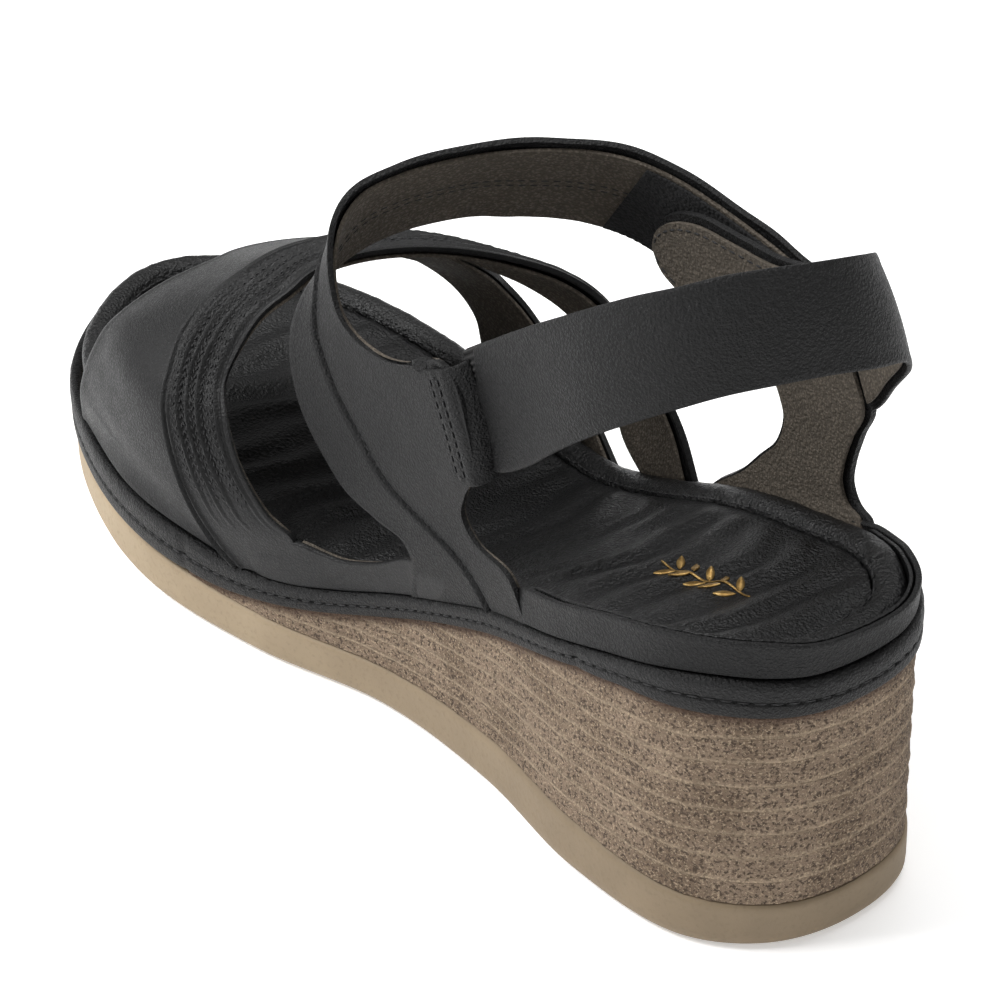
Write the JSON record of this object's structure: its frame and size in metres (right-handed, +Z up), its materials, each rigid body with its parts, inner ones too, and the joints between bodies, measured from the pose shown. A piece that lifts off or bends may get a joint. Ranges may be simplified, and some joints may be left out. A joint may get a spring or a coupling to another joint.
{
  "type": "wedge sandal",
  "caption": "Open wedge sandal for the right foot: layered wedge sole, padded footbed, plain and pleated forefoot bands, hook-and-loop instep strap and back strap.",
  "frame": {"origin": "on the ground under the middle of the bounding box", "axes": "+Y to the toe, +X to the outer side of the foot, +Z up"},
  "size_m": [0.0924, 0.2528, 0.1416],
  "materials": {
    "tread": "matte moulded tan rubber",
    "wedge": "moulded foam with a stacked-wood look",
    "foam": "soft foam",
    "board": "pressed fibre board",
    "leather": "black fine-grain synthetic leather",
    "footbed": "soft black leather with ripples",
    "lining": "taupe pebbled lining",
    "elastic": "black elastic webbing",
    "patch": "black hook-and-loop tape",
    "thread": "black sewing thread",
    "gilt": "printed gold foil"
  },
  "bodies": {
    "sandal": {"arch_strip": "leather", "arch_strip_lining": "lining", "back_strap": "leather", "back_strap_lining": "lining", "elastic_gore": "elastic", "footbed_foam": "foam", "footbed_rim": "footbed", "footbed_thread": "thread", "heel_counter": "leather", "heel_counter_lining": "footbed", "inner_quarter": "leather", "inner_quarter_front": "leather", "inner_quarter_lining": "lining", "insole_board": "board", "loop_patch": "patch", "outer_quarter": "leather", "outer_quarter_lining": "lining", "outsole": "tread", "platform_core": "foam", "pleated_band": "leather", "pleated_band_lining": "lining", "rand_cover": "leather", "rand_thread": "thread", "sock": "footbed", "toe_band": "leather", "toe_band_lining": "lining", "wedge": "wedge"},
    "strap": {"strap_rear_panel": "leather", "strap_front_panel": "leather", "strap_lining": "lining", "hook_patch": "patch"}
  },
  "joints": [
    {"name": "instep_strap_open", "type": "hinge", "parent": "sandal", "child": "strap", "pos_m": [-0.02785, 0.00979, 0.09053], "axis": [-0.2344, -0.9088, 0.3452], "range_deg": [0, 110]}
  ]
}
